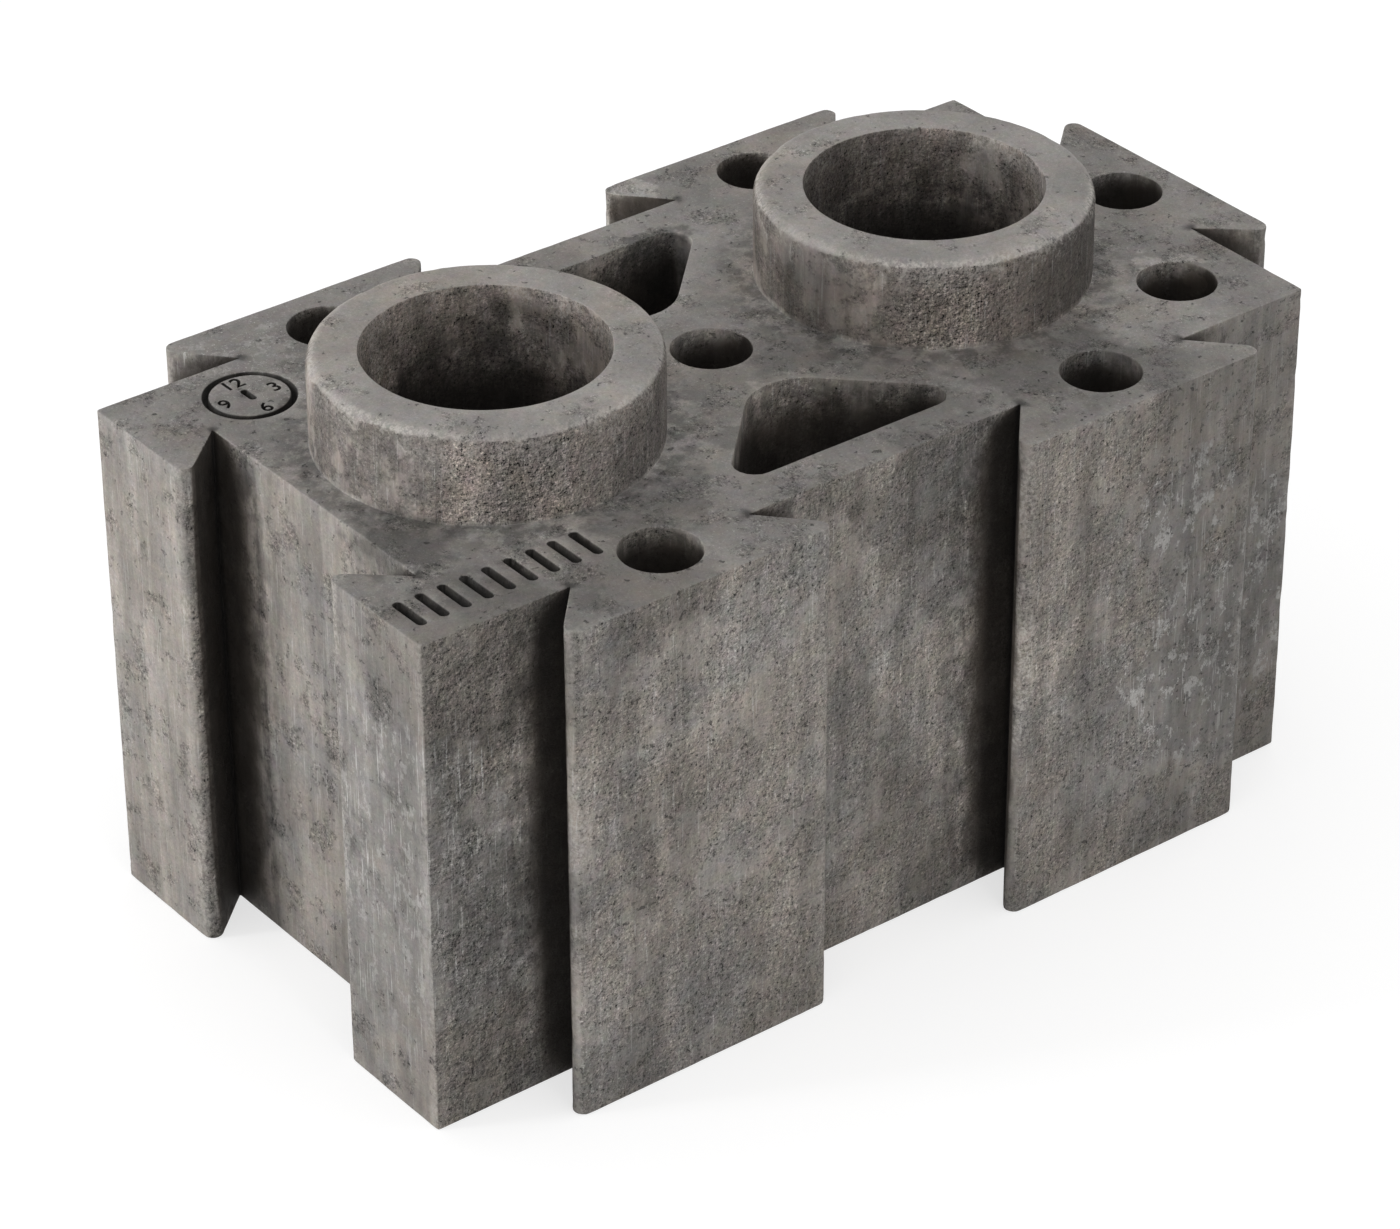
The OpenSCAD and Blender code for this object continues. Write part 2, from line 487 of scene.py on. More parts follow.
def boss_profile(sizes, relief, boss_r, bore_r, pocket_r, pocket_h):
    """(radius, height, exposed) from the foot of a boss over its rim, then down its bore and its pocket."""
    rim_r, edge_r, foot_r, step = sizes.boss_rim_r, relief.edge_r, relief.fillet_r, 1.2 * relief.step
    profile = []
    for turn in EDGE_TURNS[::-1]:
        profile.append((boss_r + foot_r * (1 - math.cos(turn)), BODY_H + foot_r * (1 - math.sin(turn)), 0))
    for up in stations(OVERALL_H - BODY_H - rim_r - foot_r, foot_r, step)[1:]:
        profile.append((boss_r, BODY_H + foot_r + up, 0))
    for turn in np.linspace(0, math.pi / 2, 7)[1:]:
        in_by, drop = rim_r * (1 - math.cos(turn)), rim_r * (1 - math.sin(turn))
        profile.append((boss_r - in_by, OVERALL_H - drop, math.sin(2 * turn) ** 2))
    for run in stations(boss_r - rim_r - bore_r - edge_r, 1.2 * MM, step)[1:-1]:
        profile.append((boss_r - rim_r - run, OVERALL_H, 0))
    for turn in EDGE_TURNS[::-1]:
        in_by, drop = edge_r * (1 - math.cos(turn)), edge_r * (1 - math.sin(turn))
        profile.append((bore_r + in_by, OVERALL_H - drop, EDGE_WEAR))
    for down in stations(OVERALL_H - edge_r - pocket_h, edge_r, 3 * step)[1:]:
        profile.append((bore_r, OVERALL_H - edge_r - down, 0))
    for run in stations(pocket_r - bore_r, 1.5 * MM, 2 * step)[1:]:
        profile.append((bore_r + run, pocket_h, 0))
    for down in stations(pocket_h - edge_r, edge_r, 2 * step)[1:-1]:
        profile.append((pocket_r, pocket_h - down, 0))
    for turn in EDGE_TURNS:
        in_by, rise = edge_r * (1 - math.cos(turn)), edge_r * (1 - math.sin(turn))
        profile.append((pocket_r + in_by, rise, EDGE_WEAR))
    return profile


# The row of grip bars, and the dial, in the top at the socket end
BAR_COUNT = 9
BAR_PITCH = 7 * MM
BAR_Y = -61.5 * MM
BAR_HALF_LENGTH = 6.5 * MM
BAR_HALF_WIDTH = 1.3 * MM
DIAL_CENTRE = (-115 * MM, 57 * MM)
DIAL_R = 13 * MM
DIAL_LINE = 1.6 * MM
NUMBERS_R = 8 * MM
NUMBER_H = 5 * MM
# How soft the edges of the numbers are, and how much is added to their strokes on each side
NUMBER_EDGE = 0.15 * MM


def sunk_mark(skin, outlines, depth, draft=0.25 * MM, soft=0.35 * MM):
    """Sinks one shape into the top, with its islands. Returns the rings that it opens in the top."""
    floors, mouths = [], []
    for outline in outlines:
        # The sunk walls and floor are -1, for painted shade in the recess
        low = skin.ring(into_material(outline, -draft), BODY_H - depth, -1)
        shoulder = skin.ring(outline, BODY_H - soft, -1)
        high = skin.ring(into_material(outline, soft), BODY_H, EDGE_WEAR)
        skin.tube([low, shoulder, high])
        floors.append(low)
        mouths.append(high)
    skin.sheet(floors, BODY_H - depth, 1.5 * MM, looks_up=True)
    return mouths


def grip_bars(skin, depth):
    """A row of plain bars sunk in the top, near one corner at the socket end."""
    mouths = []
    for bar in range(BAR_COUNT):
        outline = bar_outline(-GRID + (1 + bar) * BAR_PITCH, BAR_Y, BAR_HALF_LENGTH, BAR_HALF_WIDTH)
        mouths += sunk_mark(skin, [outline], depth)
    return mouths


def dial(skin, depth):
    """A plain dial sunk in the top at the other corner: a ring, four numbers and a short hand."""
    x, y = DIAL_CENTRE
    ring = [circle(DIAL_CENTRE, DIAL_R, 72)[::-1], circle(DIAL_CENTRE, DIAL_R - DIAL_LINE, 64)]
    mouths = sunk_mark(skin, ring, depth)
    for hour, text in ((0, "12"), (3, "3"), (6, "6"), (9, "9")):
        angle = hour * math.pi / 6
        where = x + NUMBERS_R * math.sin(angle), y + NUMBERS_R * math.cos(angle)
        outlines = number_outlines(text, *where, NUMBER_H, NUMBER_EDGE)
        mouths += sunk_mark(skin, outlines, depth, 0.0, NUMBER_EDGE)
    mouths += sunk_mark(skin, [bar_outline(x, y + 0.6 * MM, 3 * MM, 0.9 * MM)], depth)
    return mouths


def brick_skin(sizes, relief):
    """The whole surface of the brick, before its wear."""
    skin = Skin()
    step, edge_r = relief.step, relief.edge_r
    outline = rounded(body_outline(sizes, relief), step)
    turns = turning(outline)
    # Outer corners rubbed, inner corners -1 for painted shade
    corners = TIP_WEAR_AND_PAINTED_LIGHT * (turns > CORNER_TURN) - 1.0 * (turns < -CORNER_TURN)
    walls = [wall(skin, outline, edge_r, 1.6 * step, corners)]
    for name in PIN_HOLES:
        plan = circle(centre_of(name), size_of(name, "r_mm"), 36)[::-1]
        walls.append(wall(skin, plan, 0.8 * edge_r, 3 * step))
    for side in (1, -1):
        plan = rounded(core_corners(sizes, side), step)
        walls.append(wall(skin, plan, 0.8 * edge_r, 2.4 * step))
    bottom = [low for low, high in walls]
    top = [high for low, high in walls]
    for boss in ("1", "2"):
        radii = [size_of(f"{part}_{boss}", "r_mm") for part in ("boss", "bore", "pocket")]
        profile = boss_profile(sizes, relief, *radii, size_of(f"pocket_{boss}", "length_mm"))
        centre = centre_of(f"boss_{boss}")
        rings = [skin.ring(circle(centre, r, 120), z, exposed) for r, z, exposed in profile]
        skin.tube(rings)
        top.append(rings[0])
        bottom.append(rings[-1])
    top += grip_bars(skin, relief.mark_depth)
    top += dial(skin, relief.mark_depth)
    skin.sheet(top, BODY_H, 1.15 * step, looks_up=True)
    skin.sheet(bottom, 0.0, 2.4 * step, looks_up=False)
    return skin


# ----------------------------------------------------------------- the piece

# How much more open the pin holes and the cores count than a groove, so that they get less painted shade and
# dirt
HOLE_CLEAR = 1.65
CENTRE_HOLE_CLEAR = 0.85
CORE_CLEAR = (1.65, 2.4)
# How open each bore counts at its rim, and the depth over which that fades, painting shade deeper down the
# bore
BORE_CLEAR = {"1": (1.05, 44 * MM), "2": (1.0, 50 * MM)}
# How open a bore counts at its darkest
BORE_LEAST_CLEAR = 0.42
# How open a boss counts at its foot, and the height over which 1 is added to that, for painted shade at the
# foot
FOOT_CLEAR = 0.65
BOSS_FOOT_SHADE_HEIGHT = 15 * MM
# Half the length and width of the part of the body that the cores are in
CORES_WITHIN = (40 * MM, 64 * MM)
# The radius round a boss's middle that its foot is within
BOSS_WITHIN = 60 * MM
# How far past its nominal radius a point of a round wall may be
WALL_SLACK = 0.2 * MM
# The turn from one ray to the next that spreads them evenly
GOLDEN_ANGLE = math.pi * (3 - math.sqrt(5))


def mesh_from(skin, name):
    """A mesh of the skin, smooth shaded."""
    mesh = bpy.data.meshes.new(name)
    mesh.from_pydata(np.concatenate(skin.points).tolist(), [], skin.faces)
    mesh.shade_smooth()
    return mesh


def wear_at(skin, points, reach):
    """How rubbed each point is: the exposure of the nearest edge, fading to 0 at reach from it, and below 0
    near an inner corner, for painted shade.
    """
    exposed = np.concatenate(skin.exposed)
    sources = np.flatnonzero(exposed)
    tree = kdtree.KDTree(len(sources))
    for at in sources:
        tree.insert(points[at], at)
    tree.balance()
    wear = np.zeros(len(points))
    for at, point in enumerate(points):
        place, source, gap = tree.find(point)
        fade = max(0.0, 1 - gap / reach)
        wear[at] = exposed[source] * fade * fade * (3 - 2 * fade)
    return wear


def field(points, size, seed, octaves=1):
    """Smooth noise at each point, about -1 to 1, with lumps of the size given."""
    total, weight = np.zeros(len(points)), 1.0
    for octave in range(octaves):
        spots = points * (2 ** octave / size) + seed * 17.3
        total += weight * np.array([noise.noise(Vector(spot)) for spot in spots])
        weight *= 0.5
    return total


def wear_in(mesh, skin, relief):
    """Sinks the surface inwards by its waves and its chipped edges, and keeps how worn each point is, below 0
    near inner corners for painted shade.
    """
    points, normals = points_and_normals(mesh)
    wear = wear_at(skin, points, 3 * MM)
    waves = np.clip(0.5 + 0.5 * field(points, 17 * MM, 1, 2), 0, 1)
    chips = np.clip(2.2 * field(points, 5 * MM, 2, 2) - 0.5, 0, 1)
    ragged = 0.5 + 0.5 * field(points, 2.4 * MM, 3)
    rubbed = relief.chip_depth * chips + relief.ragged_depth * ragged
    depth = relief.wave_depth * waves + np.maximum(wear, 0) * rubbed
    mesh.vertices.foreach_set("co", (points - normals * depth[:, None]).ravel())
    keep(mesh, "worn", wear)


def points_and_normals(mesh):
    """Every point of the mesh and the way it faces."""
    points, normals = np.empty((2, len(mesh.vertices) * 3))
    mesh.vertices.foreach_get("co", points)
    mesh.vertex_normals.foreach_get("vector", normals)
    return points.reshape(-1, 3), normals.reshape(-1, 3)


def keep(mesh, name, values):
    """Stores one number for each point, for the material to read."""
    mesh.attributes.new(name, "FLOAT", "POINT").data.foreach_set("value", values)


def openness(mesh, rays=12, reach=0.12):
    """How much of the sky that each point faces is clear, from 0 deep in a groove to 1 in the open."""
    points, normals = points_and_normals(mesh)
    tree = BVHTree.FromPolygons(points.tolist(), [tuple(face.vertices) for face in mesh.polygons])
    aside = np.where(np.abs(normals[:, 2:]) < 0.9, (0, 0, 1), (1, 0, 0))
    across = unit(np.cross(aside, normals))
    along = np.cross(normals, across)
    spin = np.random.default_rng(1).random(len(points)) * 2 * math.pi
    starts = (points + normals * 0.3 * MM).tolist()
    clear = np.zeros(len(points))
    for ray in range(rays):
        lean = math.sqrt((ray + 0.5) / rays)
        turn = spin + ray * GOLDEN_ANGLE
        ways = across * (lean * np.cos(turn))[:, None] + along * (lean * np.sin(turn))[:, None]
        ways += normals * math.sqrt(1 - lean * lean)
        clear += [tree.ray_cast(start, way, reach)[0] is None for start, way in zip(starts, ways.tolist())]
    return adjusted_openness(points, normals, smoothed(mesh, normals, clear / rays, 8))


def adjusted_openness(points, normals, clear):
    """The openness, with more of it in the holes, the cores and the bores and on the bosses' sides."""
    x, y, height = points.T

    def apart(mount):
        return np.linalg.norm(points[:, :2] - np.array(centre_of(mount)), axis=1)

    for name in PIN_HOLES:
        more_open = CENTRE_HOLE_CLEAR if name == "centre_hole" else HOLE_CLEAR
        clear[apart(name) < size_of(name, "r_mm") + WALL_SLACK] *= more_open
    level = np.abs(normals[:, 2]) >= 0.5
    in_core = (np.abs(x) < CORES_WITHIN[0]) & (np.abs(y) < CORES_WITHIN[1]) & ~level
    clear[in_core] *= np.where(y > 0, CORE_CLEAR[1], CORE_CLEAR[0])[in_core]
    for boss in ("1", "2"):
        reach = apart(f"boss_{boss}")
        inside_bore = reach < size_of(f"bore_{boss}", "r_mm") + WALL_SLACK
        rim_open, fade = BORE_CLEAR[boss]
        in_bore = np.clip(rim_open - (BOSS_TOP - height) / fade, BORE_LEAST_CLEAR, 1)
        clear = np.where(inside_bore, in_bore, clear)
        on_boss = ~inside_bore & (reach < BOSS_WITHIN) & (height > BODY_H + 0.05 * MM)
        clear = np.where(on_boss, FOOT_CLEAR + (height - BODY_H) / BOSS_FOOT_SHADE_HEIGHT, clear)
    return np.minimum(clear, 1)


def smoothed(mesh, normals, values, times):
    """Evens out a number kept for each point by its neighbours, but not round the edges of the brick."""
    ends = np.empty(len(mesh.edges) * 2, int)
    mesh.edges.foreach_get("vertices", ends)
    first, second = ends.reshape(-1, 2).T
    ease = np.clip((normals[first] * normals[second]).sum(-1) * 20 - 19, 0.001, 1)
    share = np.bincount(first, ease, len(values)) + np.bincount(second, ease, len(values))
    for _ in range(times):
        total = np.bincount(first, ease * values[second], len(values))
        total += np.bincount(second, ease * values[first], len(values))
        values = 0.4 * values + 0.6 * total / share
    return values


def add_piece(name, mesh, material):
    piece = bpy.data.objects.new(name, mesh)
    mesh.materials.append(material)
    bpy.context.scene.collection.objects.link(piece)
    return piece


# ------------------------------------------------------------------ material

# Dark and light patches on the brick, partly stains and partly painted shade and painted light, each its
# place and radius in mm, and its brightness beside the rest
STAINS_AND_PAINTED_SHADE = (
    (70, -60, 154, 30, 0.68),  # top, between the boss and the side tab at the tab end
    (25, -66, 154, 20, 0.75),
    (20, -16, 154, 18, 0.76),
    (-40, -34, 154, 20, 1.25),
    (46, 52, 154, 30, 1.15),
    (7, -27, 142, 14, 1.5),
    (-23, -41, 148, 12, 0.7),
    (37, 87, 146, 14, 1.5),
    (30, 62, 144, 18, 0.5),
    (132, -40, 146, 12, 1.5),
    (28, -40, 154, 22, 0.8),
    (108, -64, 154, 25, 1.22),
    (12, 25, 154, 24, 1.15),
    (-88, -82, 154, 26, 0.75),  # top, round the pin hole of the nearest side tab
    (-66, -54, 154, 22, 0.7),
    (-108, -84, 152, 13, 0.8),
    (-122, -70, 154, 20, 0.88),
    (-126, -30, 154, 20, 0.6),  # foot of the boss at the socket end
    (-140, -76, 140, 36, 0.72),  # long side, beside the corner
    (-126, -76, 64, 23, 0.7),
    (-126, -76, 118, 18, 0.82),
    (29, -76, 75, 36, 1.35),  # long side, between its tabs
    (8, -76, 134, 22, 0.72),
    (29, -76, 12, 18, 0.8),
    (-25, -76, 115, 34, 1.2),
    (-7, -76, 42, 22, 0.84),
    (-115, -95, 100, 26, 1.15),  # nearest side tab
    (-58, -95, 95, 32, 1.12),
    (-84, -95, 118, 26, 1.2),
    (-56, -95, 144, 26, 1.12),
    (-105, -95, 38, 18, 1.22),
    (85, -95, 140, 26, 0.85),  # far side tab
    (78, -95, 104, 30, 0.85),
    (52, -95, 95, 24, 1.15),
    (110, -95, 14, 20, 1.2),
    (-152, 66, 110, 40, 1.1),  # socket end
    (-133, -4, 26, 46, 0.88),
    (-152, -56, 36, 44, 0.86),
)
# The same in the bores and on the sides of the bosses
BOSS_STAINS_AND_PAINTED_SHADE = (
    (-62, 27, 140, 30, 0.5),
    (92, 30, 147, 27, 0.5),
    (65, 32, 172, 16, 0.75),
    (-43, 10, 170, 16, 1.25),
    (110, 4, 172, 16, 1.2),
    (-121, -14, 168, 18, 1.12),
    (38, -32, 174, 16, 1.12),
    (30, 2, 168, 32, 0.8),
)
# Where pale bloom has come out, each its place and radius in mm
BLOOM = ((108, -95, 60, 45), (95, -95, 115, 22), (150, -76, 60, 40), (-152, -62, 75, 60), (-100, 70, 154, 30))
# How far a stain's edge wanders along each axis, in mm
STAIN_WANDER = (44.0, 44.0, 60.0)
# Brownish tint on the sides of the bosses
BOSS_SIDE_TINT = (1.03, 0.99, 0.975)
# How far red, green and blue stray from the grey between the grains
HUE_SPREAD = 0.26
# The ways that noise is drawn out: down the faces, and along two lines for the scuffs
DOWN_BANDS, DOWN_STREAKS = (1, 1, 12), (1, 1, 9)
SCUFF_TURNS = {7: (20, 55, 0), 8: (-15, -30, 40)}


def opaque(colour):
    return (*colour, 1.0)


class Shading:
    """Adds nodes to one material."""

    def __init__(self, name):
        self.material = bpy.data.materials.new(name)
        self.material.use_nodes = True
        self.tree = self.material.node_tree
        self.tree.nodes.clear()

    def add(self, kind, inputs=None, **settings):
        """Adds a node. A socket given as an input is linked, and anything else is set on it."""
        made = self.tree.nodes.new(kind)
        for key, value in settings.items():
            setattr(made, key, value)
        for key, value in (inputs or {}).items():
            if isinstance(value, bpy.types.NodeSocket):
                self.tree.links.new(value, made.inputs[key])
            else:
                made.inputs[key].default_value = value
        return made

    def surface(self, shader):
        """Ends the material in a shader."""
        self.add("ShaderNodeOutputMaterial", {"Surface": shader.outputs[0]})
        return self.material

    def math(self, operation, first, second=0.0):
        return self.add("ShaderNodeMath", {0: first, 1: second}, operation=operation).outputs[0]

    def sum(self, total, *others):
        for other in others:
            total = self.math("ADD", total, other)
        return total

    def product(self, total, *others):
        for other in others:
            total = self.math("MULTIPLY", total, other)
        return total

    def vector(self, operation, first, second):
        return self.add("ShaderNodeVectorMath", {0: first, 1: second}, operation=operation).outputs[0]

    def distance(self, first, second):
        inputs = {0: first, 1: second}
        return self.add("ShaderNodeVectorMath", inputs, operation="DISTANCE").outputs["Value"]

    def split(self, vector):
        """The three parts of a vector."""
        return self.add("ShaderNodeSeparateXYZ", {0: vector}).outputs

    def remap(self, value, low, high, out_low=0.0, out_high=1.0):
        """Soft step from low to high."""
        inputs = {"Value": value, "From Min": low, "From Max": high, "To Min": out_low, "To Max": out_high}
        return self.add("ShaderNodeMapRange", inputs, interpolation_type="SMOOTHSTEP").outputs["Result"]

    def mix(self, factor, first, second, blend_type="MIX"):
        inputs = {0: factor, 6: first, 7: second}
        return self.add("ShaderNodeMix", inputs, data_type="RGBA", blend_type=blend_type).outputs[2]

    def mix_value(self, factor, first, second):
        return self.add("ShaderNodeMix", {0: factor, 2: first, 3: second}).outputs[0]

    def dim(self, colour, factor):
        """The colour made darker or lighter by a number."""
        grey = self.add("ShaderNodeCombineColor", {0: factor, 1: factor, 2: factor}).outputs[0]
        return self.mix(1.0, colour, grey, "MULTIPLY")

    def attribute(self, name):
        return self.add("ShaderNodeAttribute", attribute_name=name).outputs["Fac"]


class CompositeShading(Shading):
    """The rough pressed composite, made in steps that share what lies where. Sizes are in millimetres."""

    def __init__(self, finish):
        super().__init__("worn_composite")
        self.finish = finish
        place = self.add("ShaderNodeTexCoord").outputs["Object"]
        self.place = self.vector("MULTIPLY", place, (1 / MM, 1 / MM, 1 / MM))
        wander = self.vector("MULTIPLY", self.noise_vector(18, 31, 4, 0.62), STAIN_WANDER)
        self.wandering = self.vector("ADD", self.place, wander)
        self.x, y, self.z = self.split(self.place)
        normal = self.add("ShaderNodeNewGeometry").outputs["Normal"]
        self.facing_x, self.facing_y, facing_z = self.split(normal)
        self.upright = self.remap(self.math("ABSOLUTE", facing_z), 0.75, 0.35)
        self.endwise = self.remap(self.math("ABSOLUTE", self.facing_x), 0.5, 0.9)
        self.long_side = self.product(self.upright, self.remap(self.endwise, 0, 1, 1.0, 0.0))
        nearer = self.add("ShaderNodeCombineXYZ", {0: self.math("ABSOLUTE", self.x), 1: y}).outputs[0]
        self.in_bore = self.remap(self.distance(nearer, (GRID / 2 / MM, 0, 0)), 40, 36)
        above_body = self.remap(self.z, BODY_H / MM, BODY_H / MM + 2)
        self.boss = self.math("MAXIMUM", above_body, self.in_bore)
        self.boss_side = self.product(self.upright, self.boss)
        self.bloom = self.near(*BLOOM[0])
        for patch in BLOOM[1:]:
            self.bloom = self.math("MAXIMUM", self.bloom, self.near(*patch))
        self.worn = self.attribute("worn")
        self.pits = self.remap(self.noise(2.6, 11, 3, 0.6), 0.665, 0.71)
        self.lumpy, self.coarse = self.coarseness()

    def spot(self, size, seed, stretch=(1, 1, 1), turn=(0, 0, 0)):
        """The place in lumps of the size given."""
        inputs = {
            "Vector": self.vector("ADD", self.place, (seed * 177.0, seed * 131.0, seed * 153.0)),
            "Rotation": [math.radians(t) for t in turn],
            "Scale": [1 / (size * s) for s in stretch]}
        return self.add("ShaderNodeMapping", inputs).outputs[0]

    def noise(self, size, seed, detail=3.0, roughness=0.5, stretch=(1, 1, 1), turn=(0, 0, 0)):
        """Cloudy noise, about 0 to 1."""
        inputs = {
            "Vector": self.spot(size, seed, stretch, turn), "Scale": 1.0,
            "Detail": detail, "Roughness": roughness}
        return self.add("ShaderNodeTexNoise", inputs).outputs[0]

    def noise_vector(self, size, seed, detail, roughness):
        """Cloudy noise in each direction, about -0.5 to 0.5."""
        inputs = {"Vector": self.spot(size, seed), "Scale": 1.0, "Detail": detail, "Roughness": roughness}
        colour = self.add("ShaderNodeTexNoise", inputs).outputs["Color"]
        return self.vector("SUBTRACT", colour, (0.5, 0.5, 0.5))

    def relief(self, size, seed, detail, roughness, towards, gain):
        """Painted shade and light of a rough surface, as light that rakes in from one way would show it.
        About -1 to 1.
        """
        spot = self.spot(size, seed)
        inputs = {"Scale": 1.0, "Detail": detail, "Roughness": roughness}
        here = self.add("ShaderNodeTexNoise", {"Vector": spot, **inputs}).outputs[0]
        beside = self.vector("ADD", spot, tuple(way / size for way in towards))
        there = self.add("ShaderNodeTexNoise", {"Vector": beside, **inputs}).outputs[0]
        return self.product(self.sum(here, self.product(there, -1.0)), gain)

    def near(self, x, y, z, radius):
        """1 at a place, falling to 0 at the radius from it with a ragged edge."""
        return self.remap(self.distance(self.wandering, (x, y, z)), radius, 0.6 * radius)

    def stained_and_painted_shade(self, stains):
        """How bright the surface is beside the rest where the stains and their painted shade and light lie on
        it.
        """
        shade = 1.0
        for x, y, z, radius, brightness in stains:
            shade = self.product(shade, self.remap(self.near(x, y, z, radius), 0, 1, 1.0, brightness))
        return shade

    def shade(self):
        """How bright each part of the brick is beside the rest, with painted shade towards the bottom and at
        both ends of the long sides.
        """
        # Painted shade: darker towards the bottom, and towards both ends of the long sides
        foot = self.remap(self.z, 0, 45, 0.86, 1.0)
        socket_end = self.remap(self.x, -112, -126, 1.0, 0.86)
        tab_end = self.remap(self.x, 72, 104, 1.0, 0.66)
        ends = self.mix_value(self.long_side, 1.0, self.product(socket_end, tab_end))
        body = self.product(foot, ends, self.stained_and_painted_shade(STAINS_AND_PAINTED_SHADE))
        return self.mix_value(self.boss_side, body, self.stained_and_painted_shade(BOSS_STAINS_AND_PAINTED_SHADE))

    def coarseness(self):
        """How coarse the faces are, from 0.2 to 1, without and with the bloom, which lies on smooth ones."""
        level = self.mix_value(self.upright, self.remap(self.boss, 0, 1, -0.02, -0.07), 0.09)
        level = self.sum(level, self.product(self.endwise, -0.13), self.product(self.boss_side, 0.1))
        tab_end = self.product(self.remap(self.x, 78, 96), self.product(self.upright, -0.09))
        level = self.sum(level, self.product(tab_end, self.mix_value(self.boss, 1.0, 0.0)))
        lumps = self.sum(self.noise(13, 9, 5, 0.66), level)
        in_bloom = self.sum(lumps, self.product(self.bloom, -0.06))
        least = self.product(self.long_side, self.remap(self.x, 60, 90, 0.45, 0.2))
        rough = [self.remap(value, 0.48, 0.58, 0.2, 1.0) for value in (lumps, in_bloom)]
        return [self.math("MAXIMUM", value, least) for value in rough]

    def tinted(self):
        """Warm and cool grey in broad clouds."""
        warmth = self.sum(self.product(self.upright, 0.12), self.product(self.bloom, -0.14))
        warmth = self.remap(self.sum(self.noise(38, 1, 4, 0.6), warmth), 0.46, 0.7)
        colour = self.mix(warmth, opaque(self.finish.cool), opaque(self.finish.warm))
        return self.dim(colour, self.remap(self.noise(26, 15, 6, 0.62, (1, 1, 1.4)), 0.28, 0.72, 0.8, 1.2))

    def boss_toned(self, colour):
        """The bosses and the bores beside the rest, with painted shade and light on their sides and in the
        bores, and brighter tops.
        """
        # Painted light and shade in the bores, set along X
        bore = self.product(
            self.remap(self.x, -20, 20, 1.25, 0.75),
            self.remap(self.x, 75, 108, 1.0, 1.45))
        # Painted shade and light on the sides of the bosses: darker facing +X and on the boss at the tab end,
        # lighter facing -Y
        side = self.product(
            self.remap(self.facing_x, -0.4, 0.35, 1.0, 0.58),
            self.remap(self.facing_y, -0.2, -0.9, 1.03, 1.3),
            self.remap(self.x, 40, 90, 0.96, 0.52))
        top = self.remap(self.x, 80, 112, 1.3, 1.2)
        tone_and_painted_shade = self.mix_value(self.upright, top, self.mix_value(self.in_bore, side, bore))
        colour = self.mix(self.boss, colour, self.dim(colour, tone_and_painted_shade))
        return self.mix(self.boss_side, colour, self.vector("MULTIPLY", colour, BOSS_SIDE_TINT))

    def hued(self, colour):
        """Slight hues between the grains."""
        hues = self.vector("MULTIPLY", self.noise_vector(5, 41, 4, 0.8), (HUE_SPREAD, HUE_SPREAD, HUE_SPREAD))
        return self.vector("MULTIPLY", colour, self.vector("ADD", hues, (1.0, 1.0, 1.0)))

    def streaked(self, colour):
        """Streaks down the upright faces, and drips on the sides of the bosses."""
        bands = self.remap(self.noise(13, 3, 4, 0.6, DOWN_BANDS), 0.32, 0.68, 0.8, 1.18)
        streaks = self.remap(self.noise(3, 4, 5, 0.7, DOWN_STREAKS), 0.36, 0.64, 0.88, 1.1)
        colour = self.mix(self.upright, colour, self.dim(colour, self.product(bands, streaks)))
        drips = self.remap(self.noise(10, 21, 6, 0.66, (1, 1, 2)), 0.34, 0.66, 0.7, 1.3)
        where = self.product(self.boss_side, self.mix_value(self.in_bore, 0.4, 1.0))
        return self.mix(where, colour, self.dim(colour, drips))

    def bloomed(self, colour):
        """Pale bloom in sharp-edged flecks, and a few scuffs."""
        bloom = opaque(self.finish.bloom)
        flecks = self.remap(self.noise(4, 6, 6, 0.74, (1, 1, 1.5)), 0.555, 0.575)
        flecks = self.product(flecks, self.remap(self.bloom, 0, 1, 0.06, 0.72))
        flecks = self.product(flecks, self.remap(self.x, 30, 80, 0.4, 1.0))
        colour = self.mix(flecks, colour, bloom)
        for seed, turn in SCUFF_TURNS.items():
            scuffs = self.remap(self.noise(0.7, seed, 2, 0.5, (1, 1, 24), turn), 0.66, 0.7)
            colour = self.mix(self.product(scuffs, self.remap(self.bloom, 0, 1, 0.3, 0.7)), colour, bloom)
        return colour

    def grained(self, colour):
        """Painted shade and light of the grain, as raking light would show it, with specks, and painted shade
        in the pits and pinholes.
        """
        painted_raking_shade = self.relief(1.3, 10, 5, 0.8, (-0.3, 0.1, 0.3), 3.1)
        painted_broad_shade = self.relief(6, 12, 4, 0.6, (-0.9, 0.3, 0.9), 1.0)
        painted_broad_shade = self.product(painted_broad_shade, self.remap(self.x, -112, -128, 1.0, 2.2))
        speck = self.noise(1.0, 19, 3, 0.75)
        dark = self.product(self.remap(speck, 0.41, 0.36), -0.85)
        pale = self.product(self.remap(speck, 0.58, 0.63), 0.8)
        # The painted relief is stronger on the lit sides of the bosses and at the socket end
        lit_side = self.product(
            self.remap(self.facing_y, -0.45, -0.85),
            self.remap(self.facing_x, -0.55, 0.1, 1.0, 0.4),
            self.remap(self.x, 55, 80, 1.0, 0.0))
        on_boss = self.mix_value(self.in_bore, self.remap(lit_side, 0, 1, -0.3, 0.8), 0.1)
        at_socket = self.product(self.long_side, self.remap(self.x, -112, -128, 0.0, 0.3))
        strength = self.sum(self.product(self.boss_side, on_boss), at_socket, 1.0)
        specks_and_painted_relief = self.product(self.sum(painted_raking_shade, painted_broad_shade, self.sum(dark, pale)), strength)
        colour = self.dim(colour, self.sum(self.product(specks_and_painted_relief, self.coarse), 1.0))
        # Painted shade in the pits, lighter on faces that face -X
        painted_pit_shade = self.remap(self.facing_x, -0.5, -0.9, 0.4, 0.72)
        colour = self.dim(colour, self.mix_value(self.pits, 1.0, painted_pit_shade))
